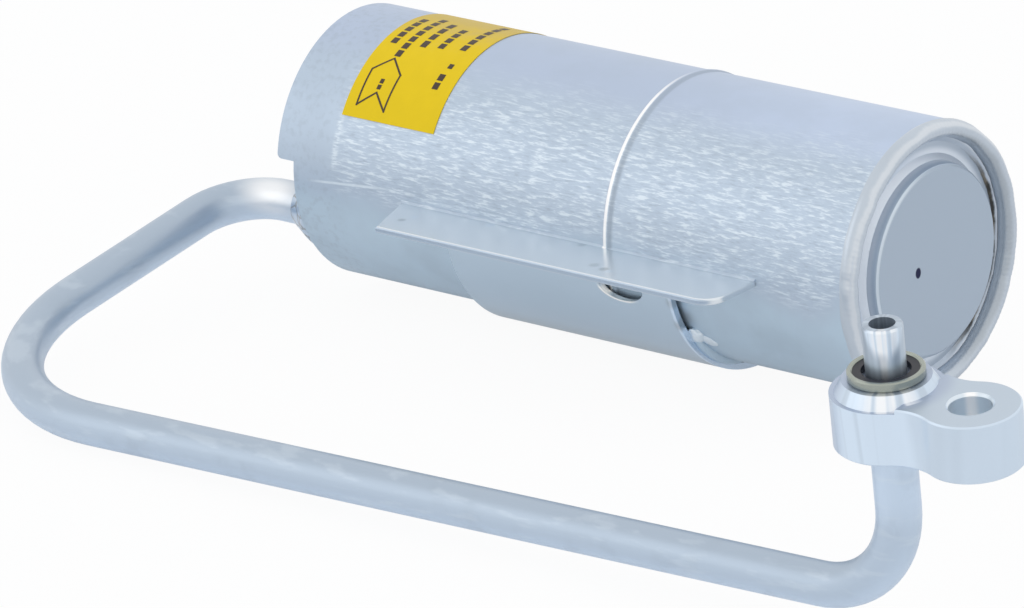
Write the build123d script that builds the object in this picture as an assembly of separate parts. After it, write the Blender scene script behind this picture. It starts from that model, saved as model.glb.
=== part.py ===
from build123d import *
from math import acos, atan2, cos, degrees, radians, sin, sqrt, tan
import os

# Filter drier for a refrigerant circuit, built in millimetres.
# Working frame: X along the canister from the header to the plain end, Z up, Y to the rear,
# origin on the canister's axis at the header's outer face. export() moves every piece so
# that the exported origin is the centre of the seal seat on the line block.

# --- canister ---
can_r = 30.8            # outer radius of the canister
wall = 2.0              # canister wall
shell_end = 154.0       # where the shell stops at the plain end
skirt_len = 4.8         # how far the shell runs past the header over its upper half
skirt_low = 3.9         # height of the cut that clears the pipe
skirt_corner = 1.2      # rounding of the cut's corner
bead_x = 90.0           # place of the rolled bead
bead_w = 2.4            # bead width
bead_h = 0.4            # bead height over the shell
groove_w = 1.5          # width and depth of the groove behind the bead
groove_d = 0.6
seat_gap = 0.05         # clearance of a part that is pressed or welded into place
loose_gap = 0.3         # clearance of a part that is only dropped in

# --- plain end ---
cap_t = 2.2             # cap sheet
cap_face_x = 157.3      # outer face of the raised disc
disc_in = 9.3           # the flat disc stops this far inside the canister's outside
disc_edge = 0.6         # rounding of the disc's rim
gully_w = 5.2           # width of the gully round the disc
gully_x = 153.2         # bottom of the gully
cap_lip = 1.6           # flat lip between the gully and the shell
cap_skirt = 5.0         # how far the cap's skirt runs into the shell
weld_top_x = 157.3      # crest of the rim weld
weld_steps = 8          # facets over the weld
weld_proud = 0.4        # how far the weld stands out over the shell
weld_back_x = 153.5     # where the weld ends on the shell's outside

# --- header ---
header_t = 14.0         # header thickness
pad_h = 0.8             # machined pad round the outlet port
port_y = -4.0           # outlet port centre
port_z = 10.0
port_r = 4.4            # outlet port wall radius
port_depth = 10.5       # depth of the port
port_lead = 0.6         # lead-in chamfer of the port
passage_r = 3.0         # passage behind the port
fit_pitch = 20.56       # distance from port to bolt, the same on both fittings
thread_turn = -25.0     # direction of the bolt hole from the port, degrees from +Y
thread_r = 3.4          # tapping hole of the M8 thread
thread_depth = 12.0
header_weld_w = 1.5     # bead between header and shell

# --- pipe ---
pipe_r = 4.765          # outer radius of the 3/8 in pipe
pipe_wall = 1.2
entry_y = -20.55        # where the pipe enters the header
entry_z = -10.6
entry_depth = 6.0       # socket depth in the header
corner_a = (-25.9, -20.55, -10.6)
corner_b = (-31.4, -120.3, -28.4)
corner_c = (235.55, -118.1, -22.64)
bend_a = 15.0           # centreline radius of each bend
bend_b = 44.0
bend_c = 23.0
pipe_weld_h = 6.0       # fillet length along the pipe
pipe_weld_w = 3.6       # fillet width on the header
pipe_weld_toe = 0.4     # thickness left at the fillet's end on the pipe

# --- line block ---
block_lean_y = -6.4     # lean of the block's axis, degrees from upright
block_lean_x = 1.3
block_low = 37.1        # underside of the block above the pipe's corner
block_top = 49.9        # bolt face
boss_top = 51.6         # seal seat
lobe_r = 12.0           # lobe round the pilot
boss_foot_r = 11.0      # foot of the seat's cone
boss_rise = 2.7         # height of the seat's cone
boss_r = 9.3            # rim of the seal seat
bolt_lobe_r = 10.5      # lobe round the bolt hole
waist_r = 11.0          # hollow that joins the two lobes
shelf_end = 8.4         # where the shelf round the seat stops toward the bolt
edge_round = 0.7
bolt_r = 4.5            # clearance hole for an M8 bolt
bolt_lead = 0.5
pilot_r = 4.27          # pilot that enters the mating block
pilot_tip = 63.4        # top of the pilot
pilot_lead = 0.5
bore_r = 2.75           # passage through pilot and block
socket_depth = 8.0      # how far the pipe enters the block
braze_h = 1.1
braze_w = 1.3

# --- seal washer ---
seal_t = 2.0
seal_outer_r = 8.05
seal_ring_w = 1.15      # width of the metal ring
seal_gap = 0.1          # space between the ring's foot and the seat's rim
rubber_t = 1.5
rubber_lip = 0.9        # rubber's clearance round the pilot

# --- bracket ---
saddle_gap = 0.8        # space between saddle and shell
sheet = 1.5             # bracket sheet
saddle_x0 = 45.5
saddle_x1 = 108.3
saddle_low = -100.0     # where the saddle ends, degrees below the front
tongue_x0 = 31.5        # slide tongue at its root
tongue_x1 = 131.0
tongue_y = -46.6        # front edge of the tongue
tongue_skew = 5.5       # slant of its header end
tongue_round = 5.0
tongue_edge = 0.5
bend_in = 2.0           # inner bend between saddle and tongue
window_x = 94.3         # oval window in the saddle
window_z = -7.9
window_a = 6.1
window_b = 3.5
bracket_weld = 1.6      # stitch weld size
root_weld = 0.5         # weld along the tongue's root
left_weld_from = -64.0
left_weld_to = -28.0
right_weld_from = -48.0
right_weld_to = -31.0

# --- inside ---
pick_r = 4.0            # pickup pipe
pick_wall = 1.0
pick_socket = 2.5       # socket depth behind the port
pick_end = 144.0
hole_gap = 0.15         # clearance where the pickup pipe passes a plate
plate_t = 1.5
plate_holes = 8
plate_hole_r = 2.4
plate_ring_r = 20.5     # radius of the ring of holes
felt_t = 4.0
spring_room = 16.0      # space kept for the spring
spring_t = 0.8          # spring sheet
spring_in = 16.5        # inner radius of the spring's ring
spring_out = 22.0
leg_reach = 17.5        # radius at which a leg stands on the header
leg_w = 6.0
leg_foot = 3.0
leg_first = 30.0        # direction of the first leg, degrees from +Y
leg_count = 3
clip_t = 1.4            # thickness of the retaining clip
clip_in = 2.2           # how far it stands into the shell
clip_gap_deg = 24.0     # opening of the clip
strainer_r = 6.2
strainer_len = 12.0
strainer_t = 0.8
strainer_past = 4.0     # how far the strainer runs past the pipe's end
strainer_slots = 6
slot_w = 2.4
slot_len = 4.0

# --- label ---
label_t = 0.12
label_glue = 0.05       # glue under the label
label_x0 = 11.7
label_x1 = 38.2
label_from = 31.0       # degrees up from the front
label_to = 150.0

over = 2.0              # run of a cutting tool past a face
inner_r = can_r - wall
disc_r = can_r - disc_in
cap_lip_r = inner_r - cap_lip
gully_r = cap_lip_r - gully_w / 2
boss_foot = boss_top - boss_rise
bore_wall_r = pipe_r - pipe_wall


def turned(points):
    """Body of revolution about X from (x, radius) points."""
    return revolve(make_face(Polyline(*points, close=True)), Axis.X, 360)


def rod(x0, x1, radius, y=0.0, z=0.0):
    """Cylinder along X between two stations."""
    plane = Plane(origin=(x0, y, z), x_dir=(0, 1, 0), z_dir=(1, 0, 0))
    return extrude(plane * Circle(radius), x1 - x0)


def sector(x0, x1, r_in, r_out, deg_from, deg_to):
    """Arc of a tube about X; angles are measured up from the front (-Y)."""
    plane = Plane(origin=(x0, 0, 0), x_dir=(0, -1, 0), z_dir=(-1, 0, 0))
    span = deg_to - deg_from
    start = Vector(r_in, 0).rotate(Axis.Z, deg_from)
    outer_start = Vector(r_out, 0).rotate(Axis.Z, deg_from)
    outer_mid = Vector(r_out, 0).rotate(Axis.Z, deg_from + span / 2)
    outer_end = Vector(r_out, 0).rotate(Axis.Z, deg_to)
    end = Vector(r_in, 0).rotate(Axis.Z, deg_to)
    inner_mid = Vector(r_in, 0).rotate(Axis.Z, deg_from + span / 2)
    edges = [
        Line(start, outer_start),
        ThreePointArc(outer_start, outer_mid, outer_end),
        Line(outer_end, end),
        ThreePointArc(end, inner_mid, start),
    ]
    return extrude(plane * make_face(Wire(edges)), -(x1 - x0))


def bent_path(points, radii):
    """Wire through the points with a round bend at each inner one."""
    edges = []
    here = Vector(*points[0])
    for index, radius in enumerate(radii):
        corner = Vector(*points[index + 1])
        back = (Vector(*points[index]) - corner).normalized()
        ahead = (Vector(*points[index + 2]) - corner).normalized()
        half = acos(back.dot(ahead)) / 2
        reach = radius / tan(half)
        start = corner + back * reach
        stop = corner + ahead * reach
        bisector = (back + ahead).normalized()
        middle = corner + bisector * (radius / sin(half) - radius)
        edges.append(Line(here, start))
        edges.append(ThreePointArc(start, middle, stop))
        here = stop
    edges.append(Line(here, Vector(*points[-1])))
    return Wire(edges)


def swept(path, radius):
    """Round bar along a path."""
    start = path.position_at(0)
    plane = Plane(origin=start, z_dir=path.tangent_at(0))
    return sweep(plane * Circle(radius), path=path)


def block_axis():
    """Unit vector up the line block."""
    lean = Vector(tan(radians(block_lean_x)), tan(radians(block_lean_y)), 1)
    return lean.normalized()


def block_plane(height):
    """Plane across the block's axis at a height above the pipe's last corner."""
    axis = block_axis()
    along = (Vector(1, 0, 0) - axis * axis.X).normalized()
    origin = Vector(*corner_c) + axis * height
    return Plane(origin=origin, x_dir=along, z_dir=axis)


def block_rod(low, high, radius, offset=0.0):
    """Cylinder along the block's axis, or beside it at the bolt hole."""
    return extrude(block_plane(low) * Pos(offset, 0) * Circle(radius), high - low)


def block_cone(low, high, r_low, r_high, offset=0.0):
    """Cone along the block's axis."""
    faces = [block_plane(low) * Pos(offset, 0) * Circle(r_low)]
    faces.append(block_plane(high) * Pos(offset, 0) * Circle(r_high))
    return loft(faces)


# --- canister ---
def bead_profile(extra):
    """Rolled bead as a solid of revolution."""
    half = bead_w / 2 + extra
    top = can_r + bead_h + extra
    points = [(bead_x - half, inner_r + wall / 4), (bead_x - half, can_r)]
    points += [(bead_x - half / 2, can_r + 0.8 * bead_h + extra), (bead_x, top)]
    points += [(bead_x + half / 2, can_r + 0.8 * bead_h + extra), (bead_x + half, can_r)]
    points += [(bead_x + half, inner_r + wall / 4)]
    return turned(points)


def make_shell():
    shell = rod(-skirt_len, shell_end, can_r) - rod(-skirt_len - over, shell_end + over, inner_r)
    x0 = bead_x - groove_w / 2
    shell = shell + bead_profile(0) - rod(x0, x0 + groove_w, inner_r + groove_d)
    low = -can_r - over
    side = 2 * can_r + 2 * over
    cutter = Pos(-over - skirt_len, -side / 2, low) * Box(
        skirt_len + over, side, skirt_low - low, align=(Align.MIN, Align.MIN, Align.MIN)
    )
    shell = shell - cutter
    corners = shell.edges().filter_by_position(Axis.X, -skirt_len - seat_gap, -skirt_len + seat_gap)
    corners = corners.filter_by_position(Axis.Z, skirt_low - seat_gap, skirt_low + seat_gap)
    return fillet(corners, skirt_corner)


def make_cap():
    face = cap_face_x
    side = gully_w / 4
    edge = gully_r - gully_w / 2
    outer = [(face, 0), (face, disc_r - disc_edge), (face - disc_edge, disc_r)]
    outer += [(gully_x + side, edge), (gully_x, edge + side), (gully_x, gully_r + side)]
    outer += [(shell_end, cap_lip_r), (shell_end, inner_r), (shell_end - cap_skirt, inner_r)]
    inner = [(shell_end - cap_skirt, inner_r - cap_t), (gully_x - cap_t, inner_r - cap_t)]
    inner += [(gully_x - cap_t, edge - cap_t / 2), (face - cap_t, edge - cap_t), (face - cap_t, 0)]
    return turned(outer + inner)


def make_cap_weld():
    """Rounded bead over the shell's end and the cap's lip, in short straight facets."""
    middle = (cap_lip_r + can_r) / 2
    half = (can_r + weld_proud - cap_lip_r) / 2
    points = [(weld_back_x, can_r), (weld_back_x + weld_proud, can_r + weld_proud)]
    for step in range(1, weld_steps):
        turn = radians(180 * step / weld_steps)
        height = (weld_top_x - shell_end) * sin(turn)
        points.append((shell_end + height, middle + weld_proud / 2 + half * cos(turn)))
    points += [(shell_end, cap_lip_r), (shell_end, can_r)]
    return turned(points)


# --- header ---
def thread_centre():
    turn = radians(thread_turn)
    return port_y + fit_pitch * cos(turn), port_z + fit_pitch * sin(turn)


def fitting_outline():
    """Two lobes joined by hollows that are tangent to both."""
    reach, bolt_reach = lobe_r + waist_r, bolt_lobe_r + waist_r
    along = (fit_pitch**2 + reach**2 - bolt_reach**2) / (2 * fit_pitch)
    off = sqrt(reach**2 - along**2)
    share, bolt_share = lobe_r / reach, bolt_lobe_r / bolt_reach
    near_x, near_y = along * share, off * share
    far_x, far_y = fit_pitch + (along - fit_pitch) * bolt_share, off * bolt_share
    upper = [(0, 0), (near_x, near_y), (far_x, far_y), (fit_pitch, 0)]
    span = make_face(Polyline(*upper, (far_x, -far_y), (near_x, -near_y), close=True))
    span = span - Pos(along, off) * Circle(waist_r) - Pos(along, -off) * Circle(waist_r)
    return Circle(lobe_r) + Pos(fit_pitch, 0) * Circle(bolt_lobe_r) + span


def outlet_pad():
    """Raised pad with the outline of the mating block."""
    turn = radians(thread_turn)
    face = Plane(origin=(-pad_h, port_y, port_z), x_dir=(0, cos(turn), sin(turn)), z_dir=(1, 0, 0))
    return extrude(face * fitting_outline(), over + pad_h)


def make_header():
    header = rod(0, header_t, inner_r) + outlet_pad()
    header -= rod(-over, entry_depth, pipe_r + seat_gap, entry_y, entry_z)
    header -= rod(0, header_t + over, bore_wall_r, entry_y, entry_z)
    header -= rod(-over, port_depth, port_r, port_y, port_z)
    header -= rod(0, header_t + over, passage_r, port_y, port_z)
    socket = header_t - pick_socket
    header -= rod(socket, header_t + over, pick_r + seat_gap, port_y, port_z)
    thread_y, thread_z = thread_centre()
    header -= rod(-over, thread_depth, thread_r, thread_y, thread_z)
    mouth = header.edges().filter_by(GeomType.CIRCLE)
    mouth = mouth.filter_by_position(Axis.X, -pad_h - seat_gap, -pad_h + seat_gap)
    lead = [e for e in mouth if abs(e.radius - port_r) < seat_gap]
    lead += [e for e in mouth if abs(e.radius - thread_r) < seat_gap]
    return chamfer(lead, port_lead)


def pipe_weld_cone():
    start = Plane(origin=(0, entry_y, entry_z), x_dir=(0, 1, 0), z_dir=(-1, 0, 0))
    slope = degrees(atan2(pipe_weld_w - pipe_weld_toe, pipe_weld_h))
    cone = extrude(start * Circle(pipe_r + pipe_weld_w), pipe_weld_h, taper=slope)
    return cone & rod(-pipe_weld_h - over, over, can_r)


def make_pipe_weld():
    return pipe_weld_cone() - rod(-pipe_weld_h - over, over, pipe_r, entry_y, entry_z)


def make_header_weld():
    low = inner_r - header_weld_w
    points = [(0, low), (0, inner_r), (-header_weld_w, inner_r)]
    return turned(points) - pipe_weld_cone() - rod(-over, 0, pipe_r, entry_y, entry_z)


# --- pipe ---
def make_pipe():
    start = (entry_depth, entry_y, entry_z)
    top = Vector(*corner_c) + block_axis() * (block_low + socket_depth)
    points = [start, corner_a, corner_b, corner_c, (top.X, top.Y, top.Z)]
    path = bent_path(points, [bend_a, bend_b, bend_c])
    return swept(path, pipe_r) - swept(path, bore_wall_r)


# --- line block ---
def make_block():
    block = extrude(block_plane(block_low) * fitting_outline(), block_top - block_low)
    faces = [block_plane(block_low), block_plane(block_top)]
    rims = [e for e in block.edges() if any(abs(f.to_local_coords(e.center()).Z) < seat_gap for f in faces)]
    block = chamfer(rims, edge_round / 2)
    trim = block_rod(boss_foot, boss_top + over, lobe_r + over) - block_cone(
        boss_foot, boss_top, boss_foot_r, boss_r
    )
    clear = block_rod(boss_foot, boss_top + over, bolt_lobe_r + edge_round, fit_pitch)
    trim -= clear
    beyond = Rectangle(fit_pitch, 2 * lobe_r, align=(Align.MIN, Align.CENTER))
    trim -= extrude(block_plane(boss_foot) * Pos(shelf_end, 0) * beyond, boss_top)
    block = block - trim + block_cone(boss_foot, boss_top, boss_foot_r, boss_r)
    block += block_rod(block_low + socket_depth, pilot_tip, pilot_r)
    tip = pilot_tip - pilot_lead
    sleeve = block_rod(tip, pilot_tip + over, pilot_r + over)
    block -= sleeve - block_cone(tip, pilot_tip, pilot_r, pilot_r - pilot_lead / 2)
    block -= block_rod(block_low - over, block_low + socket_depth, pipe_r + seat_gap)
    block -= block_rod(block_low, pilot_tip + over, bore_r)
    block -= block_rod(block_low - over, block_top + over, bolt_r, fit_pitch)
    block -= block_cone(block_top - bolt_lead, block_top, bolt_r, bolt_r + bolt_lead, fit_pitch)
    block -= block_cone(block_low, block_low + bolt_lead, bolt_r + bolt_lead, bolt_r, fit_pitch)
    return block


def make_braze():
    cone = block_cone(block_low - braze_h, block_low, pipe_r + seat_gap, pipe_r + braze_w)
    return cone - block_rod(block_low - braze_h - over, block_low + over, pipe_r)


# --- seal washer ---
def make_seal_ring():
    top = boss_top + seal_t
    ring = block_rod(boss_top, top, seal_outer_r) - block_rod(
        boss_top - over, top + over, seal_outer_r - seal_ring_w
    )
    return chamfer(ring.edges().filter_by(GeomType.CIRCLE), seal_ring_w / 4)


def make_seal_rubber():
    low = boss_top + seal_gap
    body = block_rod(low, low + rubber_t, seal_outer_r - seal_ring_w)
    return body - block_rod(low - over, low + rubber_t + over, pilot_r + rubber_lip)


# --- bracket ---
def make_bracket():
    inner = can_r + saddle_gap
    outer = inner + sheet
    root = can_r + seat_gap
    saddle = sector(saddle_x0, saddle_x1, inner, outer, saddle_low, 0)
    front = [(tongue_x0, -root), (tongue_x0 + tongue_skew, tongue_y), (tongue_x1, tongue_y)]
    blade = make_face(Polyline(*front, (tongue_x1, -root), close=True))
    far = [v for v in blade.vertices() if v.Y < tongue_y + seat_gap and v.X > tongue_x1 - seat_gap]
    blade = fillet(far, tongue_round)
    blade = extrude(Pos(0, 0, -sheet) * blade, sheet)
    edges = [e for e in blade.edges() if e.center().Y < -root - bend_in]
    blade = fillet([e for e in edges if abs(e.tangent_at(0).Z) < seat_gap], tongue_edge)
    bracket = saddle + blade
    hollow = rod(tongue_x0 - over, tongue_x1 + over, root)
    bracket = bracket - hollow - bead_profile(seat_gap)
    window = Plane(origin=(window_x, 0, window_z), x_dir=(1, 0, 0), z_dir=(0, -1, 0))
    return bracket - extrude(window * Ellipse(window_a, window_b), 2 * can_r)


def stitch(x_face, side, deg_from, deg_to):
    """Fillet bead between a saddle end and the shell."""
    plane_pts = [(x_face, can_r), (x_face, can_r + bracket_weld), (x_face + side * bracket_weld, can_r)]
    face = make_face(Polyline(*plane_pts, close=True))
    bead = revolve(face, Axis.X, deg_to - deg_from)
    return bead.rotate(Axis.X, 180 - deg_to)


def make_root_weld():
    centre = sqrt(can_r * can_r - root_weld * root_weld)
    points = [(-can_r - seat_gap - root_weld, 0), (-centre + root_weld, 0), (-centre + seat_gap, root_weld)]
    plane = Plane(origin=(tongue_x0, 0, 0), x_dir=(0, 1, 0), z_dir=(1, 0, 0))
    bar = extrude(plane * make_face(Polyline(*points, close=True)), tongue_x1 - tongue_x0)
    return bar - rod(0, shell_end, can_r) - bead_profile(0)


# --- inside ---
def plate(x0, thick, radius):
    disc = rod(x0, x0 + thick, radius)
    return disc - rod(x0 - over, x0 + thick + over, pick_r + hole_gap, port_y, port_z)


def perforated(x0):
    disc = plate(x0, plate_t, inner_r - loose_gap)
    for index in range(plate_holes):
        turn = radians((index + 0.5) * 360 / plate_holes)
        y = plate_ring_r * cos(turn)
        z = plate_ring_r * sin(turn)
        disc -= rod(x0 - over, x0 + plate_t + over, plate_hole_r, y, z)
    return disc


def make_pickup():
    start = header_t - pick_socket
    pipe = rod(start, pick_end, pick_r, port_y, port_z)
    return pipe - rod(start - over, pick_end + over, pick_r - pick_wall, port_y, port_z)


def make_strainer():
    x1 = pick_end + strainer_past
    x0 = x1 - strainer_len
    cup = rod(x0, x1, strainer_r, port_y, port_z)
    cup -= rod(x0 + strainer_t, x1 - strainer_t, strainer_r - strainer_t, port_y, port_z)
    cup -= rod(x0 - over, x0 + over, pick_r, port_y, port_z)
    middle = x1 - strainer_past
    for index in range(strainer_slots):
        slot = Pos(middle, port_y, port_z) * Rot(index * 360 / strainer_slots, 0, 0) * Pos(0, 0, strainer_r)
        cup -= slot * Box(slot_len, slot_w, 2 * over)
    return cup


def make_spring():
    """Stamped ring with bent legs that stand on the header."""
    top = header_t + spring_room
    ring = rod(top - spring_t, top, spring_out) - rod(top - spring_t - over, top + over, spring_in)
    foot = header_t + spring_t
    high = spring_out - spring_t
    line = [(header_t, leg_reach), (header_t, leg_reach + leg_foot), (top - spring_t, high)]
    line += [(top, high), (top, high - spring_t), (foot, leg_reach)]
    plane = Plane(origin=(0, 0, 0), x_dir=(1, 0, 0), z_dir=(0, 0, 1))
    leg = extrude(plane * make_face(Polyline(*line, close=True)), leg_w / 2, both=True)
    for index in range(leg_count):
        ring += leg.rotate(Axis.X, leg_first + index * 360 / leg_count)
    return ring


def make_clip():
    """Open ring that sits in the groove behind the bead."""
    x0 = bead_x - clip_t / 2
    outer = inner_r + groove_d - seat_gap
    return sector(x0, x0 + clip_t, inner_r - clip_in, outer, clip_gap_deg, 360)


# --- label ---
def make_label():
    low = can_r + label_glue
    return sector(label_x0, label_x1, low, low + label_t, label_from, label_to)


upper_plate_x = header_t + spring_room
upper_felt_x = upper_plate_x + plate_t
bed_x = upper_felt_x + felt_t
lower_plate_x = bead_x - clip_t / 2 - plate_t
lower_felt_x = lower_plate_x - felt_t
seat_point = Vector(*corner_c) + block_axis() * boss_top

pieces = {
    "canister_shell": make_shell(),
    "plain_end_cap": make_cap(),
    "plain_end_weld": make_cap_weld(),
    "header": make_header(),
    "header_weld": make_header_weld(),
    "inlet_pipe": make_pipe(),
    "inlet_pipe_weld": make_pipe_weld(),
    "line_block": make_block(),
    "block_braze": make_braze(),
    "seal_ring": make_seal_ring(),
    "seal_rubber": make_seal_rubber(),
    "slide_bracket": make_bracket(),
    "bracket_weld_header_side": stitch(saddle_x0, -1, left_weld_from, left_weld_to),
    "bracket_weld_plain_side": stitch(saddle_x1, 1, right_weld_from, right_weld_to),
    "bracket_root_weld": make_root_weld(),
    "pickup_pipe": make_pickup(),
    "pickup_strainer": make_strainer(),
    "bed_spring": make_spring(),
    "upper_plate": perforated(upper_plate_x),
    "upper_felt": plate(upper_felt_x, felt_t, inner_r - seat_gap),
    "desiccant_bed": plate(bed_x, lower_felt_x - bed_x, inner_r - seat_gap),
    "lower_felt": plate(lower_felt_x, felt_t, inner_r - seat_gap),
    "lower_plate": perforated(lower_plate_x),
    "plate_clip": make_clip(),
    "label": make_label(),
}

os.makedirs("parts", exist_ok=True)
for name, solid in pieces.items():
    export_step(solid.moved(Location(-seat_point)), f"parts/{name}.step")
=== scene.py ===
from math import cos, degrees, pi, radians, sin, sqrt

import bmesh
import bpy
from mathutils import Matrix, Vector, noise


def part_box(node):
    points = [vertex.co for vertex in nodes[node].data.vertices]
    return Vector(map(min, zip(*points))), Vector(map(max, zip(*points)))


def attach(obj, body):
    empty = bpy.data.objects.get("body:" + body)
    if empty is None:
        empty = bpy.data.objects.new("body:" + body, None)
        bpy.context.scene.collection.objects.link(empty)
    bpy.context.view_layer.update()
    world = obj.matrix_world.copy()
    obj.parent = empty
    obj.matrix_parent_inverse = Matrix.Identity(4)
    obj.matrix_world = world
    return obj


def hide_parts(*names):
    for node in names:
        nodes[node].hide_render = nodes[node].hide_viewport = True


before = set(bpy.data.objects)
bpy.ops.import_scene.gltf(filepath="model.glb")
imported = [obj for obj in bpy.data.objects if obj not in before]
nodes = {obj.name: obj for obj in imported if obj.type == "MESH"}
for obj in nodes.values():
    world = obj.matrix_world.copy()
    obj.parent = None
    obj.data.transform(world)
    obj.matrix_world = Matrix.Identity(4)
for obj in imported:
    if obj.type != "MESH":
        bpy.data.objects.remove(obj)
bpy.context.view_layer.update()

# Metres. Places on the canister are given from its own origin: X runs along its axis from the
# header's face to the plain end, and an angle counts upward from the front, which is -Y.
MM = 0.001


def mm(*values):
    """A run of millimetres, in metres."""
    return tuple(value * MM for value in values)


CAN_R = 30.8 * MM
SHELL_END = 154.0 * MM
CAP_FACE = 157.3 * MM


def axis_origin():
    low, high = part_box("desiccant_bed")
    cap_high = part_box("plain_end_cap")[1]
    return Vector((cap_high.x - CAP_FACE, (low.y + high.y) / 2, (low.z + high.z) / 2))


ORIGIN = axis_origin()
FLOOR_Z = min(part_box(name)[0].z for name in nodes)

# --- colours, linear ---
ALUMINIUM = (0.500, 0.590, 0.700)
LAVENDER = (0.490, 0.570, 0.710)
LOWER = (0.520, 0.640, 0.745)
BRIGHT = (0.740, 0.820, 0.890)
MACHINED = (0.640, 0.740, 0.850)
TONGUE = (0.760, 0.810, 0.850)
RIM_GREY = (0.530, 0.590, 0.660)
GULLY_INNER = (0.720, 0.780, 0.860)
GULLY_OUTER = (0.470, 0.540, 0.630)
WALL_LEFT = (0.480, 0.550, 0.640)
WALL_RIGHT = (0.860, 0.890, 0.930)
GREY_STAIN = (0.300, 0.330, 0.350)
BROWN_STAIN = (0.200, 0.175, 0.130)
WHITE = (1.0, 1.0, 1.0)
WARM_WHITE = (1.0, 1.0, 0.97)
YELLOW = (0.770, 0.555, 0.008)
SHADE_AND_SHEEN_YELLOW = (0.560, 0.430, 0.150)
INK = (0.045, 0.025, 0.010)
BLUE_INK = (0.012, 0.014, 0.060)
STEEL = (0.42, 0.42, 0.42)
FELT = (0.72, 0.68, 0.58)
SEAL_METAL = (0.36, 0.39, 0.35)
SEAL_RUBBER = (0.005, 0.007, 0.016)
WIRE_GAP = (0.16, 0.16, 0.15)
WIRE = (0.70, 0.70, 0.66)
GRAIN_GAP = (0.22, 0.17, 0.11)
GRAIN = (0.66, 0.55, 0.40)

# --- camera ---
CAM_TARGET = Vector(mm(67.57, -37.32, -15.35))
CAM_AZIMUTH = 39.833
CAM_ELEVATION = 19.901
CAM_ROLL = -2.877
CAM_DISTANCE = 1.9709
CAM_LENS = 313.5
CAM_SENSOR = 36.0
CAM_CLIP = 20.0

# --- light and floor ---
WORLD_STRENGTH = 1.0
KEY_PLACE = (-0.9, -1.3, 0.8)
KEY_SIZE = (1.4, 1.2)
KEY_POWER = 1.6
FLOOR_HALF = 6.0
FLOOR_COLOUR = (0.80, 0.82, 0.85)
CAMERA_WHITE = 0.94
GLOSSY_WHITE = 0.42

# --- shell: stations along the axis, turns in radians above the front ---
# Here and below, a pair is where a tone is 0 and where it is full, and a run of four is where
# it starts, is full, begins to fade and ends.
MARK_TURNS = (-0.12, 0.10, 0.72, 1.25)
MARK_TURNS_WAVER = 0.60
MARK_START = mm(3, 10)
MARK_START_WAVER = 10 * MM
# waves to a metre along the shell and round it
MARK_WAVES = (210, 1150)
FINE_MARK_WAVES = (420, 2500)
FINE_MARK_SHARE = 0.4
UPPER_TURNS = (0.85, 1.25)
UPPER_LIGHTENS = mm(80, 135)
LOWER_TURNS = (0.02, -0.22)
UNDERSIDE_TURNS = (-0.85, -1.15)
SCORE_AT = 11.8 * MM
SCORE_WIDTH = mm(1.2, 0.2)
SCORE_TURNS = (0.10, 0.18, 0.50, 0.56)
SPECKLE_END = mm(16, 8)
BEAD_AT = 90.0 * MM
BEAD_LIT = mm(-1.1, -0.8, -0.1, 0.3)
BEAD_SHADED = mm(0.1, 0.5, 1.0, 1.9)
BEAD_TURNS = (1.75, 1.10)
CREASE_START = -0.1 * MM
CREASE_RISE = 2.2 / 26
CREASE_WIDTH = mm(0.45, 0.1)
CREASE_REACH = mm(2.5, 10, 20, 32)
FLUX_AT = mm(108.8, -28.6, -14.0)
FLUX_R = 0.4 * MM
FLUX_SOFT = 3.6 * MM

# --- end disc and its weld: radii from the axis, stations along it, places to the right and up ---
# dark in the gully's crevice to the right: flux residue and painted shade
DIRT_AND_SHADE_RADII = mm(25.5, 25.9, 26.3, 26.8)
DIRT_AND_SHADE_RIGHT = mm(6, 18)
DIRT_AND_SHADE_BELOW = mm(22, 10)
GULLY_FROM = mm(21.6, 21.9)
GULLY_TOP = mm(157.2, 156.8)
GULLY_DARKENS = mm(23.6, 25.2)
WALL_FROM = mm(26.4, 26.6)
WALL_TOP = mm(153.6, 154.2)
WALL_LIGHTENS = mm(2, 14)
FACE_FROM = mm(156.6, 157.0)
FACE_EDGE = mm(20.9, 21.2, 21.4, 21.7)
FACE_EDGE_LEFT = mm(0, -12)
INK_DOT_AT = mm(157.3, -7.0, -0.6)
INK_DOT_R = 0.8 * MM
INK_DOT_SOFT = 0.3 * MM
INK_DOT_SHAPE = (1, 1, 0.78)
CREST_RADII = mm(29.4, 30.0, 30.4, 30.9)
FOOT_RADII = mm(28.8, 27.8)
FOOT_RIGHT = mm(4, 16)
WANDER = 1.2 * MM

# --- block: upright axis through the pilot, radii and turns round it, heights from the seat ---
BLOCK_AXIS = Vector((0.022546, -0.111441, 0.993515))
BLOCK_ACROSS = Vector((0.640, -0.768, 0.0))
# the seat is the frame's own origin
BLOCK_SEAT = -ORIGIN
BOLT_AXIS_AT = BLOCK_SEAT + Vector(mm(20.372, 0.954, -8.508))
LOBE_RADII = mm(15, 11)
LOBE_SIDE_RADII = mm(15, 12.4)
EDGE_RADII = mm(13, 12.2)
EDGE_TURNS = (-0.9, -1.7)
CONE_RADII = mm(11.6, 11.2)
CONE_FOOT = mm(-3.0, -2.6)
PILOT_RADII = mm(5.0, 4.7)
PILOT_FOOT = mm(0.1, 0.4)
PILOT_LINE_TURN = -0.10
BORE_RADII = mm(4.8, 4.6)
BORE_LINE_AT = 0.4 * MM
BORE_LINE_WIDTH = mm(1.8, 0.5)

# --- label: turns above the front ---
LABEL_SHADE_TURNS = (1.25, 1.75)
LABEL_SHADE_WAVER = 0.5
LABEL_SHINE = 0.20

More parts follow.
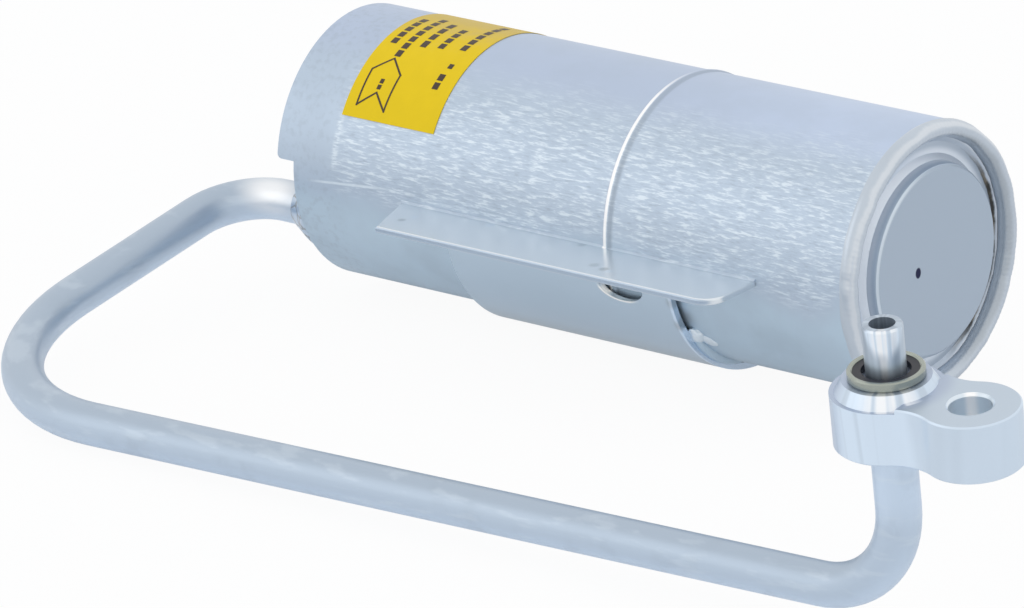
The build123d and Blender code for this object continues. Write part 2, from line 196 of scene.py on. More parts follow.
# --- bracket: heights, and stations of the saddle's edge and window ---
TONGUE_FROM = mm(-4.5, -3.0)
UNDER_TONGUE = mm(-3.0, -5.5)
SADDLE_FOOT = mm(-23.5, -29.0)
LIP_FROM = mm(-44, -46)
SADDLE_EDGE = mm(107.2, 107.8)
SADDLE_EDGE_TOP = mm(-4, -8)
WINDOW_AT = mm(94.3, -7.9)
WINDOW_HALF = mm(6.1, 3.5)
WINDOW_LIP_TOP = mm(-8.0, -9.5)
WINDOW_LIP_END = mm(99.0, 95.5)
# place, radius and softness in mm, tone and share of each rub and stain
BRACKET_MARKS = (
    ((40.4, -37.2, 0.0), 0.4, 0.9, BRIGHT, 0.8),
    ((39.3, -40.1, 0.0), 0.4, 0.9, GREY_STAIN, 0.40),
    ((58.5, -32.4, 0.0), 0.8, 1.0, BRIGHT, 0.7),
    ((84.1, -32.2, 0.0), 0.5, 1.0, GREY_STAIN, 0.30),
    ((94.5, -41.0, 0.0), 0.5, 1.2, GREY_STAIN, 0.30),
    ((98.0, -41.9, 0.0), 0.5, 1.0, GREY_STAIN, 0.45),
    ((99.9, -42.4, 0.0), 0.5, 0.8, BRIGHT, 0.9),
    ((108.3, -30.6, -9.0), 0.5, 2.0, BROWN_STAIN, 0.45),
    ((108.5, -28.5, -15.0), 0.5, 2.0, BROWN_STAIN, 0.45),
)

# --- inlet pipe: its last leg, and the painted highlight beside its weld ---
LEG_FROM = mm(215, 225)
LEG_FOOT = mm(-10, 4)
PIPE_GLINT_AT = mm(-13.0, -24.0, -7.5)
PIPE_GLINT_R = 1 * MM
PIPE_GLINT_SOFT = 6 * MM
PIPE_GLINT_SHAPE = (0.6, 1, 1)
PIPE_MARK_WAVES = (90, 90, 420)

# --- inner pieces and welds: screen's waves in radians to a metre, cells to a metre ---
WIRE_WAVES = 5200
GRAIN_CELLS = 520
FACET_CELLS = 330

# --- rim weld: stations round the rim and points over its crest ---
RIM_STEPS = 720
RIM_POINTS = 16
RIM_INNER = 26.9 * MM
RIM_OUTER = 31.2 * MM
RIM_BACK = SHELL_END - 0.1 * MM
RIM_TOP = CAP_FACE
RIM_LIFT = 0.02 * MM
RIPPLE = 0.025 * MM
RIPPLE_STEP = 1.3 * MM
RIPPLE_LEAN = 2.2
LUMP = 0.24 * MM
LUMP_WAVES = 4.0
FINE_LUMP = 0.5 * LUMP
FINE_LUMP_WAVES = 11.0
# how far the bead's back edge creeps over the shell
CREEP = 1.5 * LUMP
CREEP_WAVES = 3.0
CREEP_SEED = Vector((7, 0, 0))

# --- saddle welds: station in mm and angle; half sizes along, round and out in mm ---
BLOB_CENTRE = (109.2, -36.8)
BLOB_SIZE = (2.3, 2.5, 1.5)
TAIL_CENTRE = (111.6, -39.6)
TAIL_SIZE = (2.6, 1.6, 0.6)
BLOB_TILT = -35.0
FILLET_CENTRE = (108.7, -55.0)
FILLET_SIZE = (1.3, 11.5, 1.5)
BLOB_STEPS = 48
BLOB_WAVES = 1.6
# points closer than this are one
MERGE = 1e-7

# --- label print: station in mm and angle ---
PRINT_LIFT = 0.22 * MM
PRINT_STEP = 0.8 * MM
ARROW = ((18.4, 60.8), (22.8, 53.1), (22.8, 35.8), (18.9, 43.2), (14.8, 36.5), (14.5, 53.6), (18.4, 60.8))
ARROW_STROKE = 0.46 * MM
# station, first and last angle and number of marks of each printed row
ROWS = (
    (14.7, 68.5, 92.5, 5), (18.6, 61.5, 96.5, 7), (22.8, 69.5, 93.0, 4),
    (27.4, 71.0, 89.5, 4), (33.2, 72.5, 104.0, 6), (33.6, 49.5, 58.5, 2), (34.0, 61.0, 64.5, 1),
    (18.9, 44.4, 50.2, 2),
)
ROW_THICK = 1.70 * MM
ROW_GAP = 0.24
# thickest that a mark may be, against half its length
MARK_STOUT = 1.8


def on_can(x, angle, radius=CAN_R):
    """Point on the canister from a station and an angle in degrees above the front."""
    turn = radians(angle)
    return ORIGIN + Vector((x, -radius * cos(turn), radius * sin(turn)))


def scaled(colour, k):
    return tuple(min(c * k, 1.0) for c in colour)


# --- values worked out by node trees ---
def feed(tree, socket, value):
    """Links a field to an input, or sets the input to a plain number, vector or colour."""
    if isinstance(value, Field):
        tree.links.new(value.socket, socket)
    elif socket.type == "RGBA":
        socket.default_value = (*value, 1)
    else:
        socket.default_value = value


def add(tree, kind, **inputs):
    node = tree.nodes.new(kind)
    for key, value in inputs.items():
        feed(tree, node.inputs[key], value)
    return node


class Field:
    """A number or a vector that varies over a surface: one output of a node tree."""

    def __init__(self, tree, socket):
        self.tree = tree
        self.socket = socket

    def math(self, operation, *others):
        node = self.tree.nodes.new("ShaderNodeMath")
        node.operation = operation
        for socket, value in zip(node.inputs, (self, *others)):
            feed(self.tree, socket, value)
        return Field(self.tree, node.outputs["Value"])

    def vector(self, operation, other=(0, 0, 0), output="Vector"):
        node = self.tree.nodes.new("ShaderNodeVectorMath")
        node.operation = operation
        feed(self.tree, node.inputs[0], self)
        node.inputs[1].default_value = other
        return Field(self.tree, node.outputs[output])

    def dot(self, way):
        """How far the vector reaches along a way."""
        return self.vector("DOT_PRODUCT", way, "Value")

    def parts(self):
        node = self.tree.nodes.new("ShaderNodeSeparateXYZ")
        feed(self.tree, node.inputs[0], self)
        return [Field(self.tree, socket) for socket in node.outputs]

    def __add__(self, other):
        return self.math("ADD", other)

    def __sub__(self, other):
        return self.math("SUBTRACT", other)

    def __mul__(self, other):
        return self.math("MULTIPLY", other)

    def __truediv__(self, other):
        return self.math("DIVIDE", other)

    def __abs__(self):
        return self.math("ABSOLUTE")


def ramp(value, low, high):
    """0 at low and 1 at high, smooth between and flat beyond. low may be the larger."""
    node = add(value.tree, "ShaderNodeMapRange", Value=value)
    node.interpolation_type = "SMOOTHSTEP"
    flip = low > high
    node.inputs["From Min"].default_value = high if flip else low
    node.inputs["From Max"].default_value = low if flip else high
    node.inputs["To Min"].default_value = 1.0 if flip else 0.0
    node.inputs["To Max"].default_value = 0.0 if flip else 1.0
    return Field(value.tree, node.outputs["Result"])


def band(value, start, full, fading, end):
    """1 from full to fading, and 0 before start and after end."""
    return ramp(value, start, full) * ramp(value, end, fading)


def hypotenuse(a, b):
    return (a * a + b * b).math("SQRT")


def waver(noise_field, amount):
    """Turns noise from 0 to 1 into a shift of half the amount either way."""
    return noise_field * amount - amount / 2


class Finish:
    """A material as it is painted: tones laid over one another, read from the canister's origin."""

    def __init__(self, name, rough, metallic=0.0):
        self.material = bpy.data.materials.new(name)
        self.material.use_nodes = True
        self.tree = self.material.node_tree
        self.shader = self.tree.nodes["Principled BSDF"]
        self.shader.inputs["Roughness"].default_value = rough
        self.shader.inputs["Metallic"].default_value = metallic
        coord = self.tree.nodes.new("ShaderNodeTexCoord")
        self.place = Field(self.tree, coord.outputs["Object"]).vector("SUBTRACT", ORIGIN)
        self.normal = Field(self.tree, coord.outputs["Normal"])
        self.colour = None

    def around(self):
        """Station, arc length upward from the front and turn in radians."""
        x, y, z = self.place.parts()
        turn = z.math("ARCTAN2", y * -1.0)
        return x, turn * CAN_R, turn

    def noise(self, scale, detail=3.0, rough=0.55, distortion=0.0, at=None):
        node = add(self.tree, "ShaderNodeTexNoise", Vector=at or self.place, Scale=scale,
                   Detail=detail, Roughness=rough, Distortion=distortion)
        return Field(self.tree, node.outputs["Fac"])

    def patches(self, scale, detail, low, high):
        """1 where the noise is above high, 0 where it is below low."""
        return ramp(self.noise(scale, detail), low, high)

    def cells(self, scale, feature="F1"):
        """Distance inside cells: from each one's middle, or from its edge."""
        node = add(self.tree, "ShaderNodeTexVoronoi", Scale=scale)
        node.feature = feature
        feed(self.tree, node.inputs["Vector"], self.place)
        return Field(self.tree, node.outputs["Distance"])

    def join(self, x, y, z=0.0):
        node = add(self.tree, "ShaderNodeCombineXYZ", X=x, Y=y, Z=z)
        return Field(self.tree, node.outputs["Vector"])

    def spot(self, centre, radius, soft, stretch=(1, 1, 1), wobble=None):
        """1 inside a ball round centre, fading out over soft; wobble is a noise that ruffles its edge."""
        gap = self.place.vector("SUBTRACT", centre).vector("MULTIPLY", stretch)
        away = gap.vector("LENGTH", output="Value")
        if wobble is not None:
            away = away + waver(wobble, radius)
        return ramp(away, radius + soft, radius)

    def blend(self, share, a, b):
        node = self.tree.nodes.new("ShaderNodeMix")
        node.data_type = "RGBA"
        for socket, value in zip((node.inputs[0], node.inputs[6], node.inputs[7]), (share, a, b)):
            feed(self.tree, socket, value)
        return Field(self.tree, node.outputs[2])

    def lay(self, mask, tone, share=1.0):
        """Lays a tone over the colour so far, by that share where the mask is 1."""
        self.colour = self.blend(mask * share, self.colour, tone)

    def bump(self, height, strength, distance):
        node = add(self.tree, "ShaderNodeBump", Height=height, Strength=strength, Distance=distance)
        self.tree.links.new(node.outputs["Normal"], self.shader.inputs["Normal"])

    def done(self):
        self.tree.links.new(self.colour.socket, self.shader.inputs["Base Color"])
        return self.material


# --- materials ---
def satin(name, base, rough, metallic=0.8, mottle=0.05, grain=(300, 300, 300), depth=0.15):
    """Satin aluminium with large soft patches and a fine grain, as a finish to lay tones over."""
    finish = Finish(name, rough, metallic)
    finish.colour = finish.blend(finish.noise(45), scaled(base, 1 - mottle), scaled(base, 1 + mottle))
    fine = finish.noise(8, 4, at=finish.place.vector("MULTIPLY", grain))
    finish.bump(fine, depth, 0.1 * MM)
    return finish


def plain(name, base, rough, metallic=0.0, spread=0.05, scale=800, depth=0.1):
    """Finished material of one colour with a faint speckle, matt or glossy."""
    finish = Finish(name, rough, metallic)
    speck = finish.noise(scale)
    finish.colour = finish.blend(speck, scaled(base, 1 - spread), scaled(base, 1 + spread))
    finish.bump(speck, depth, 0.1 * MM)
    return finish.done()


def draw_marks(finish, x, arc, waves, seed, detail, distortion):
    """Streaks round the shell; waves is how many to a metre along it and round it."""
    along, round_ = waves
    return finish.noise(1.0, detail, 0.6, distortion, at=finish.join(x * along, arc * round_, seed))


def lay_score(finish, x, turn, marks):
    """Bright line scored round the front near the header."""
    line = ramp(abs(x - SCORE_AT), *SCORE_WIDTH) * band(turn, *SCORE_TURNS)
    finish.lay(line * ramp(marks, 0.38, 0.55), BRIGHT, 0.7)


def lay_rolled_bead(finish, x, turn):
    """Painted highlight on the side toward the header, painted shade on the other."""
    along = x - BEAD_AT
    finish.lay(band(along, *BEAD_LIT) * ramp(turn, *BEAD_TURNS), WHITE)
    finish.lay(band(along, *BEAD_SHADED), scaled(ALUMINIUM, 0.66), 0.55)


def lay_crease(finish, x, arc):
    """Painted highlight along the crease under the skirt's corner."""
    off = abs(arc - (x * CREASE_RISE + CREASE_START))
    finish.lay(ramp(off, *CREASE_WIDTH) * band(x, *CREASE_REACH), BRIGHT, 0.8)


def shell_material():
    """Drawn aluminium: wavy draw marks in a band round the front, smooth above and below, with painted shade
    on the underside, a painted highlight and shade on the rolled bead and a painted highlight along the
    crease.
    """
    finish = Finish("canister_alu", 0.47, 0.75)
    x, arc, turn = finish.around()
    broad = finish.noise(38)
    patch = finish.noise(90, 4)
    wavy_turn = turn + waver(broad, MARK_TURNS_WAVER)
    low = ramp(wavy_turn, *LOWER_TURNS)
    upper = finish.blend(ramp(x, *UPPER_LIGHTENS), LAVENDER, scaled(LAVENDER, 1.10))
    finish.colour = finish.blend(ramp(turn, *UPPER_TURNS), ALUMINIUM, upper)
    finish.lay(low, LOWER)
    finish.lay(ramp(patch, 0.35, 0.7), scaled(ALUMINIUM, 0.84), 0.20)
    # draw marks
    marks = draw_marks(finish, x, arc, MARK_WAVES, seed=0.0, detail=3, distortion=0.35)
    fine_marks = draw_marks(finish, x, arc, FINE_MARK_WAVES, seed=3.0, detail=2, distortion=0.3)
    ridges = fine_marks * FINE_MARK_SHARE + marks * (1 - FINE_MARK_SHARE)
    marked = band(wavy_turn, *MARK_TURNS) * ramp(x - broad * MARK_START_WAVER, *MARK_START)
    lay_score(finish, x, turn, fine_marks)
    speckle = finish.patches(620, 4, 0.46, 0.68) * ramp(x, *SPECKLE_END)
    finish.lay(speckle, scaled(ALUMINIUM, 0.74), 0.30)
    finish.lay(ramp(ridges, 0.48, 0.63) * marked, BRIGHT, 0.85)
    finish.lay(ramp(ridges, 0.46, 0.34) * marked, scaled(ALUMINIUM, 0.76), 0.55)
    # painted shade on the underside, and darker patches low on the front
    finish.lay(ramp(turn, *UNDERSIDE_TURNS), scaled(LOWER, 0.84))
    finish.lay(finish.patches(60, 5, 0.48, 0.68) * low, scaled(LOWER, 0.80), 0.30)
    lay_rolled_bead(finish, x, turn)
    lay_crease(finish, x, arc)
    # flux stain where the bracket is welded on
    finish.lay(finish.spot(FLUX_AT, FLUX_R, FLUX_SOFT, wobble=patch), BROWN_STAIN, 0.30)
    finish.bump(ridges * marked + broad * 0.15, 0.35, 0.3 * MM)
    return finish.done()


def uneven_radius(finish, scale, detail):
    """Distance from the canister's axis, plain and wandering, and the noise that it wanders by."""
    _, y, z = finish.place.parts()
    radius = hypotenuse(y, z)
    rub = finish.noise(scale, detail)
    return radius, radius + waver(rub, WANDER), rub


def cap_material():
    """End disc with a gully round its face in painted light and shade, flux residue and painted shade in its
    crevice to the right, a painted highlight on the face's left edge and an ink dot on the face.
    """
    finish = satin("cap_alu", scaled(ALUMINIUM, 1.02), 0.45, mottle=0.04)
    x, y, z = finish.place.parts()
    radius, reach, rub = uneven_radius(finish, 220, 4)
    # painted light on the gully floor next to the disc, painted shade further out
    gully = ramp(radius, *GULLY_FROM) * ramp(x, *GULLY_TOP)
    finish.lay(gully, finish.blend(ramp(radius, *GULLY_DARKENS), GULLY_INNER, GULLY_OUTER))
    # painted shade on the gully's outer wall to the left, painted light on it to the right
    wall = ramp(radius, *WALL_FROM) * ramp(x, *WALL_TOP)
    finish.lay(wall, finish.blend(ramp(y, *WALL_LIGHTENS), WALL_LEFT, WALL_RIGHT))
    finish.lay(ramp(x, *FACE_FROM), scaled(ALUMINIUM, 0.85))
    # dark brown in the gully to the right: flux residue and painted shade in the crevice
    dirt_and_shade = band(reach, *DIRT_AND_SHADE_RADII) * ramp(y, *DIRT_AND_SHADE_RIGHT) * ramp(z, *DIRT_AND_SHADE_BELOW) * ramp(rub, 0.22, 0.40)
    tint = finish.blend(ramp(rub, 0.42, 0.62), scaled(BROWN_STAIN, 0.10), scaled(BROWN_STAIN, 0.70))
    finish.lay(dirt_and_shade, tint, 0.95)
    # painted highlight on the left part of the face's edge
    finish.lay(band(radius, *FACE_EDGE) * ramp(y, *FACE_EDGE_LEFT), BRIGHT, 0.7)
    finish.lay(finish.spot(INK_DOT_AT, INK_DOT_R, INK_DOT_SOFT, INK_DOT_SHAPE), BLUE_INK)
    return finish.done()


def rim_material():
    """Smooth bead with a painted highlight along its crest, and grey at its inner foot on its far side,
    partly grime and partly painted shade.
    """
    finish = satin("rim_alu", RIM_GREY, 0.30, metallic=0.85, mottle=0.07)
    reach = uneven_radius(finish, 120, 3)[1]
    # painted highlight along the crest
    finish.lay(band(reach, *CREST_RADII), WHITE, 0.26)
    # grey at the inner foot on the far side: grime and painted shade
    right = ramp(finish.place.parts()[1], *FOOT_RIGHT)
    finish.lay(ramp(reach, *FOOT_RADII) * right, GREY_STAIN, 0.45)
    return finish.done()


def weld_material():
    """Cast weld metal: bright crests, grey flux in the hollows."""
    finish = Finish("weld_metal", 0.33, 0.85)
    broad = finish.noise(160, 4)
    crests = ramp(broad, 0.35, 0.65)
    finish.colour = finish.blend(crests, scaled(ALUMINIUM, 0.93), scaled(ALUMINIUM, 1.16))
    finish.lay(finish.patches(260, 4, 0.56, 0.74), GREY_STAIN, 0.35)
    finish.bump(broad + finish.noise(900) * 0.3, 0.45, 0.3 * MM)
    return finish.done()


def facet_weld_material():
    """Lumpy weld: bright facets with brown seams between them."""
    finish = satin("weld_facets", scaled(ALUMINIUM, 1.10), 0.28, metallic=0.85, mottle=0.12)
    inward = finish.cells(FACET_CELLS, "DISTANCE_TO_EDGE")
    finish.lay(ramp(inward, 0.10, 0.02), BROWN_STAIN, 0.55)
    finish.bump(inward, 0.6, 0.6 * MM)
    return finish.done()


def upright_bands(finish, turn, waves, seed, scale=1.0, detail=1):
    """Noise that changes only with the turn round the block's axis."""
    return finish.noise(scale, detail, at=finish.join(turn * waves, seed))


def lay_pilot(finish, turn, pilot):
    """Turned pilot: painted reflection in dark upright bands and a painted highlight in one light line."""
    finish.lay(pilot, scaled(MACHINED, 0.80))
    pilot_bands = upright_bands(finish, turn, waves=1.5, seed=9.0)
    finish.lay(pilot * ramp(pilot_bands, 0.60, 0.42), scaled(ALUMINIUM, 0.66), 0.75)
    line = ramp(abs(turn - PILOT_LINE_TURN), 0.24, 0.06)
    finish.lay(line * pilot, WHITE, 0.38)


def lay_cone(finish, turn, cone):
    """Cone under the seal: painted reflection in dark upright stripes and a white painted glint toward the
    front.
    """
    stripes = upright_bands(finish, turn, waves=3.4, seed=4.0)
    finish.lay(cone * ramp(stripes, 0.50, 0.36), scaled(MACHINED, 0.55), 0.30)
    glint = cone * ramp(stripes, 0.42, 0.55) * ramp(abs(turn), 0.8, 0.2)
    finish.lay(glint, WHITE, 0.8)


def lay_bolt_hole(finish, side):
    """Painted light on the bolt hole's wall and a painted highlight band down its far side."""
    from_bolt = finish.place.vector("SUBTRACT", BOLT_AXIS_AT)
    u, v = from_bolt.dot(BLOCK_ACROSS), from_bolt.dot(side)
    wall = ramp(hypotenuse(u, v), *BORE_RADII)
    finish.lay(wall, BRIGHT)
    finish.lay(wall * ramp(abs(v - BORE_LINE_AT), *BORE_LINE_WIDTH), WHITE)


def block_material():
    """Extruded side and darker milled top, with painted reflection in upright bands on the side, pilot and
    cone, painted highlights on the pilot and cone, painted light in the bolt hole and painted shade at the
    lobe's left edge.
    """
    finish = satin("block_alu", MACHINED, 0.33, metallic=0.75, mottle=0.03, grain=(500, 500, 60), depth=0.05)
    side = BLOCK_AXIS.cross(BLOCK_ACROSS)
    from_seat = finish.place.vector("SUBTRACT", BLOCK_SEAT)
    u, v = from_seat.dot(BLOCK_ACROSS), from_seat.dot(side)
    height = from_seat.dot(BLOCK_AXIS)
    radius, turn = hypotenuse(u, v), v.math("ARCTAN2", u)
    upward = finish.normal.dot(BLOCK_AXIS)
    top, sides = ramp(upward, 0.80, 0.95), ramp(upward, 0.4, 0.1)
    # milled top
    finish.lay(top, scaled(MACHINED, 0.80))
    finish.lay(top * ramp(radius, *LOBE_RADII), scaled(LAVENDER, 0.86))
    # side: lighter on the lobe, with upright bands of painted reflection
    finish.lay(ramp(radius, *LOBE_SIDE_RADII) * sides, scaled(MACHINED, 1.11))
    bands = upright_bands(finish, turn, waves=3.0, seed=0.0, scale=1.2, detail=2)
    finish.lay(ramp(bands, 0.50, 0.70) * sides, scaled(MACHINED, 0.82), 0.40)
    # painted shade at the lobe's left edge
    finish.lay(ramp(turn, *EDGE_TURNS) * ramp(radius, *EDGE_RADII), scaled(LAVENDER, 0.90), 0.8)
    lay_cone(finish, turn, ramp(radius, *CONE_RADII) * ramp(height, *CONE_FOOT))
    lay_pilot(finish, turn, ramp(radius, *PILOT_RADII) * ramp(height, *PILOT_FOOT))
    lay_bolt_hole(finish, side)
    return finish.done()


def label_material():
    """Matt yellow paper, darker and greyer toward the top: painted shade and sheen."""
    finish = Finish("label_paper", 0.60)
    turn = finish.around()[2]
    patch = finish.noise(260, 4)
    finish.colour = finish.blend(patch, scaled(YELLOW, 0.95), scaled(YELLOW, 1.05))
    # painted shade and sheen toward the top
    finish.lay(ramp(turn + waver(patch, LABEL_SHADE_WAVER), *LABEL_SHADE_TURNS), SHADE_AND_SHEEN_YELLOW, 0.8)
    finish.shader.inputs["Specular IOR Level"].default_value = LABEL_SHINE
    return finish.done()


def lay_window_lip(finish, x, z):
    """Painted highlight on the lower left lip of the oval window in the saddle."""
    (x0, z0), (half_x, half_z) = WINDOW_AT, WINDOW_HALF
    wide, tall = (x - x0) / half_x, (z - z0) / half_z
    lip = ramp(wide * wide + tall * tall, 1.35, 1.12)
    finish.lay(lip * ramp(z, *WINDOW_LIP_TOP) * ramp(x, *WINDOW_LIP_END), WARM_WHITE)


def bracket_material():
    """Sheet bracket: painted light on the tongue's top, painted shade under the tongue and on the saddle
    below, rubs, stains and painted light on the saddle's cut edge.
    """
    finish = satin("bracket_alu", ALUMINIUM, 0.27, metallic=0.85, mottle=0.08, depth=0.06)
    rub = finish.noise(300)
    x, y, z = finish.place.parts()
    # painted shade under the tongue and on the saddle's lower part
    finish.lay(ramp(z, *UNDER_TONGUE), scaled(LOWER, 0.98), 0.6)
    finish.lay(ramp(z, *SADDLE_FOOT), scaled(LOWER, 0.82))
    # painted light on the tongue's top
    finish.lay(ramp(z, *TONGUE_FROM), TONGUE)
    forward = finish.normal.dot((0, -1, 0))
    # the tongue's front-facing edge a little darker than its painted-light top
    finish.lay(ramp(forward, 0.5, 0.8) * ramp(y, *LIP_FROM), scaled(ALUMINIUM, 0.95))
    # painted light on the saddle's cut edge
    finish.lay(ramp(x, *SADDLE_EDGE) * ramp(z, *SADDLE_EDGE_TOP), scaled(ALUMINIUM, 1.35))
    for centre, radius, soft, tone, share in BRACKET_MARKS:
        mark = finish.spot(mm(*centre), radius * MM, soft * MM, wobble=rub)
        finish.lay(mark, tone, share)
    lay_window_lip(finish, x, z)
    return finish.done()


def pipe_material():
    """Bent tube: painted shade on top, painted light at the sides, underneath and up the last leg, and a
    painted highlight beside its weld.
    """
    finish = satin("pipe_alu", ALUMINIUM, 0.38, grain=(60, 300, 300))
    upward = finish.normal.parts()[2]
    x, _, z = finish.place.parts()
    # painted light and shade by facing: darker on top, lighter at the sides and underneath
    finish.colour = finish.blend(ramp(upward, 0.75, 0.0), scaled(ALUMINIUM, 0.86), scaled(ALUMINIUM, 1.04))
    finish.lay(ramp(upward, -0.05, -0.70), scaled(ALUMINIUM, 1.22))
    # painted light up the last leg
    finish.lay(ramp(x, *LEG_FROM) * ramp(z, *LEG_FOOT), scaled(ALUMINIUM, 1.24))
    finish.lay(finish.patches(110, 4, 0.50, 0.72), scaled(ALUMINIUM, 0.80), 0.25)
    drawn = finish.noise(1.0, at=finish.place.vector("MULTIPLY", PIPE_MARK_WAVES))
    finish.lay(ramp(drawn, 0.52, 0.68), BRIGHT, 0.20)
    # painted highlight beside the weld
    finish.lay(finish.spot(PIPE_GLINT_AT, PIPE_GLINT_R, PIPE_GLINT_SOFT, PIPE_GLINT_SHAPE), WHITE, 0.8)
    return finish.done()


def screen_material():
    """Woven wire screen."""
    finish = Finish("screen", 0.4, 0.8)
    wires = [abs((part * WIRE_WAVES).math("SINE")) for part in finish.place.parts()]
    cloth = wires[0] * wires[1].math("MAXIMUM", wires[2])
    finish.colour = finish.blend(cloth, WIRE_GAP, WIRE)
    finish.bump(cloth, 0.6, 0.3 * MM)
    return finish.done()


def desiccant_material():
    """Desiccant grains, drawn as cells."""
    finish = Finish("desiccant", 0.85)
    ball = ramp(finish.cells(GRAIN_CELLS), 0.65, 0.1)
    finish.colour = finish.blend(ball, GRAIN_GAP, GRAIN)
    finish.bump(ball, 0.9, 1 * MM)
    return finish.done()


def dress(material, *names):
    for name in names:
        mesh = nodes[name].data
        mesh.materials.clear()
        mesh.materials.append(material)


def dress_frame():
    """Gives every node its material, and returns those that the script's own pieces share."""
    rim = rim_material()
    fillet = satin("fillet_alu", scaled(LOWER, 1.02), 0.45, mottle=0.06).done()
    # welds painted bright as a highlight, for the saddle's blob and the header-side stitch
    highlight_weld = satin("weld_highlight", scaled(BRIGHT, 0.95), 0.30, mottle=0.08).done()
    dress(shell_material(), "canister_shell", "bracket_root_weld")
    dress(cap_material(), "plain_end_cap")
    dress(satin("header_alu", ALUMINIUM, 0.40, mottle=0.10).done(), "header")
    dress(bracket_material(), "slide_bracket")
    dress(pipe_material(), "inlet_pipe", "pickup_pipe")
    dress(block_material(), "line_block")
    dress(weld_material(), "plain_end_weld", "header_weld", "block_braze", "bracket_weld_plain_side")
    dress(facet_weld_material(), "inlet_pipe_weld")
    dress(highlight_weld, "bracket_weld_header_side")
    dress(plain("seal_metal", SEAL_METAL, 0.25, metallic=0.85), "seal_ring")
    dress(plain("seal_rubber", SEAL_RUBBER, 0.45), "seal_rubber")
    dress(screen_material(), "pickup_strainer")
    dress(plain("inner_steel", STEEL, 0.38, metallic=0.9),
          "bed_spring", "upper_plate", "lower_plate", "plate_clip")
    dress(plain("felt", FELT, 0.95, spread=0.18, scale=1500, depth=0.6), "upper_felt", "lower_felt")
    dress(desiccant_material(), "desiccant_bed")
    dress(label_material(), "label")
    return rim, highlight_weld, fillet


# --- pieces ---
def make_piece(name, verts, faces, material, smooth=True, replaces=(), turn_out=True):
    """Adds a piece that rides on the root; turn_out points the faces of a closed one outward."""
    mesh = bpy.data.meshes.new(name)
    mesh.from_pydata([tuple(v) for v in verts], [], faces)
    # points that fall together, as at a lump's poles, become one
    work = bmesh.new()
    work.from_mesh(mesh)
    bmesh.ops.remove_doubles(work, verts=work.verts, dist=MERGE)
    if turn_out:
        bmesh.ops.recalc_face_normals(work, faces=work.faces)
    work.to_mesh(mesh)
    work.free()
    mesh.update()
    if smooth:
        mesh.polygons.foreach_set("use_smooth", [True] * len(mesh.polygons))
    mesh.materials.append(material)
    piece = bpy.data.objects.new(name, mesh)
    bpy.context.scene.collection.objects.link(piece)
    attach(piece, "root")
    for node in replaces:
        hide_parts(node)


def grid_faces(rows, columns, wrap_rows, wrap_columns):
    """Four-sided faces over points that are listed row by row, closed on themselves where wrapped."""
    faces = []
    for i in range(rows if wrap_rows else rows - 1):
        for j in range(columns if wrap_columns else columns - 1):
            a, b = i * columns + j, i * columns + (j + 1) % columns
            c = ((i + 1) % rows) * columns
            faces.append((a, b, c + (j + 1) % columns, c + j))
    return faces


def append_mesh(verts, faces, more_verts, more_faces):
    """Adds a second mesh to the lists of a first one."""
    faces += [tuple(i + len(verts) for i in face) for face in more_faces]
    verts += more_verts


def rim_weld(material):
    """Hand-laid bead round the plain end, rippled and a little uneven."""
    verts = []
    middle, half = (RIM_INNER + RIM_OUTER) / 2, (RIM_OUTER - RIM_INNER) / 2
    for i in range(RIM_STEPS):
        angle = 360 * i / RIM_STEPS
        way = Vector((cos(radians(angle)), sin(radians(angle)), 0))
        lump = LUMP * noise.noise(way * LUMP_WAVES) + FINE_LUMP * noise.noise(way * FINE_LUMP_WAVES)
        creep = CREEP * noise.noise(way * CREEP_WAVES + CREEP_SEED)
        for j in range(RIM_POINTS):
            turn = pi * j / (RIM_POINTS - 1)
            swell = sin(turn)
            phase = 2 * pi * RIM_OUTER * radians(angle) / RIPPLE_STEP + RIPPLE_LEAN * swell
            ripple = RIPPLE * swell * sin(phase)
            radius = middle + (half + min(lump, 0.0)) * cos(turn) + ripple * cos(turn)
            x = SHELL_END + (RIM_TOP - SHELL_END + lump) * swell + ripple
            if j == 0:
                x, radius = RIM_BACK - abs(creep), CAN_R + RIM_LIFT
            verts.append(on_can(x, angle, radius))
    make_piece("rim_bead", verts, grid_faces(RIM_STEPS, RIM_POINTS, True, False),
               material, replaces=("plain_end_weld",))


def lump_mesh(centre, size, tilt, seed, wobble=0.16):
    """Flattened weld lump on the canister, tilted by degrees out of the axis, with a wobbly surface."""
    verts = []
    station, angle = centre
    long, wide, high = size
    lean = radians(tilt)
    rows, columns = BLOB_STEPS // 2, BLOB_STEPS
    for i in range(rows + 1):
        polar = pi * i / rows
        for j in range(columns):
            turn = 2 * pi * j / columns
            way = Vector((sin(polar) * cos(turn), sin(polar) * sin(turn), cos(polar)))
            swell = 1 + wobble * noise.noise(way * BLOB_WAVES + Vector((seed, 0, 0)))
            u, v = long * way.x * swell, wide * way.y * swell
            along = u * cos(lean) - v * sin(lean)
            round_ = u * sin(lean) + v * cos(lean)
            verts.append(on_can((station + along) * MM, angle + degrees(round_ * MM / CAN_R),
                                CAN_R + high * MM * way.z * swell))
    return verts, grid_faces(rows + 1, columns, False, True)


def saddle_blob(material):
    """Weld blob with a flat tail at the saddle's plain-end edge."""
    verts, faces = lump_mesh(BLOB_CENTRE, BLOB_SIZE, BLOB_TILT, seed=3.0)
    append_mesh(verts, faces, *lump_mesh(TAIL_CENTRE, TAIL_SIZE, BLOB_TILT, seed=9.0))
    make_piece("saddle_blob", verts, faces, material, replaces=("bracket_weld_plain_side",))


def saddle_fillet(material):
    """Weld run below the blob, in the corner of the saddle's edge."""
    verts, faces = lump_mesh(FILLET_CENTRE, FILLET_SIZE, tilt=0.0, seed=5.0, wobble=0.08)
    make_piece("saddle_fillet", verts, faces, material)


